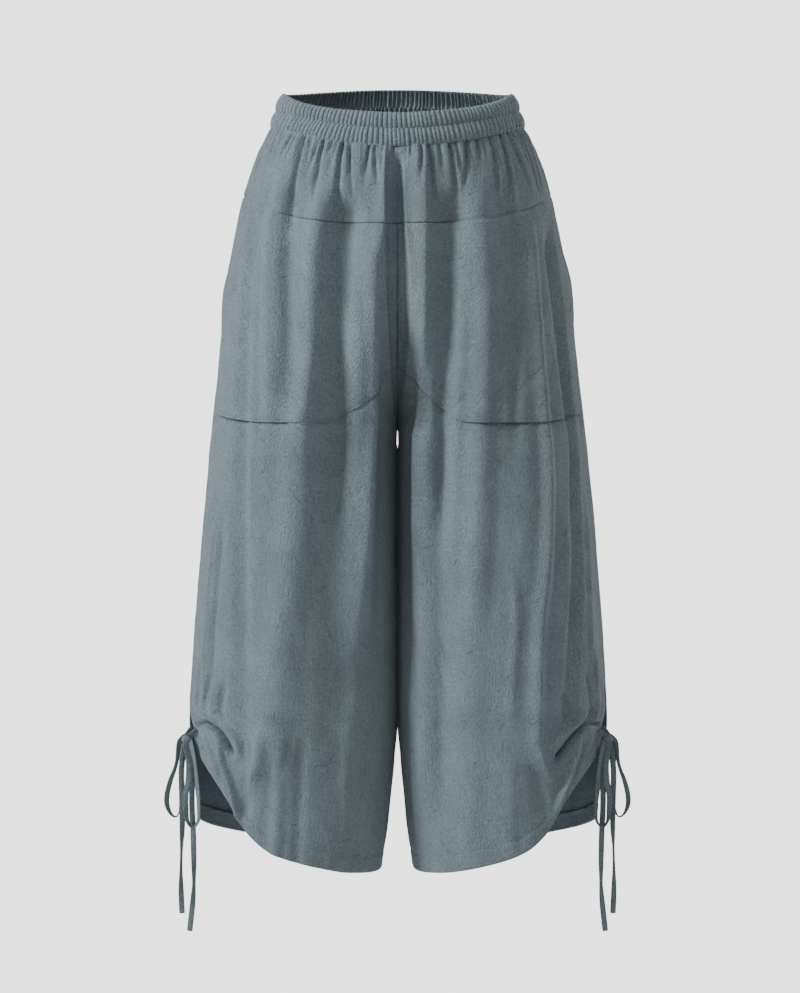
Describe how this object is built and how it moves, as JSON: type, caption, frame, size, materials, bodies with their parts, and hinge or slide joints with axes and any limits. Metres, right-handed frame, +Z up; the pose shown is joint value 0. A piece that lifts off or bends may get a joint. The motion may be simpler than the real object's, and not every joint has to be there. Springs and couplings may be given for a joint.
{
  "type": "culottes",
  "caption": "Wide cropped culottes in crinkled cotton with a ruffled elastic waist, yoke, large curved patch pockets and side vents drawn up by string ties.",
  "frame": {"origin": "centre of the waist, level with the middle of the waistband at the sides", "axes": "+Z up the garment, front faces -Y, +X to the right of someone looking at the front"},
  "size_m": [0.5266, 0.2334, 0.9586],
  "materials": {
    "cloth": "matt crinkled blue-grey cotton and linen",
    "pocket_cloth": "the same cloth, patch pockets",
    "band_cloth": "the same cloth ruffled over elastic",
    "tie_cloth": "the same cloth folded and stitched into narrow flat strings"
  },
  "bodies": {
    "root": {"front_yoke_left": "cloth", "front_yoke_right": "cloth", "back_yoke_left": "cloth", "back_yoke_right": "cloth", "front_panel_left": "cloth", "front_panel_right": "cloth", "back_panel_left": "cloth", "back_panel_right": "cloth", "pocket_left": "pocket_cloth", "pocket_right": "pocket_cloth", "waistband_front": "band_cloth", "waistband_back": "band_cloth", "tie_lead_upper_left": "tie_cloth", "tie_lead_lower_left": "tie_cloth", "tie_knot_left": "tie_cloth", "tie_loop_outer_left": "tie_cloth", "tie_loop_inner_left": "tie_cloth", "tie_tail_outer_left": "tie_cloth", "tie_tail_inner_left": "tie_cloth", "tie_lead_upper_right": "tie_cloth", "tie_lead_lower_right": "tie_cloth", "tie_knot_right": "tie_cloth", "tie_loop_outer_right": "tie_cloth", "tie_loop_inner_right": "tie_cloth", "tie_tail_outer_right": "tie_cloth", "tie_tail_inner_right": "tie_cloth"}
  },
  "joints": []
}
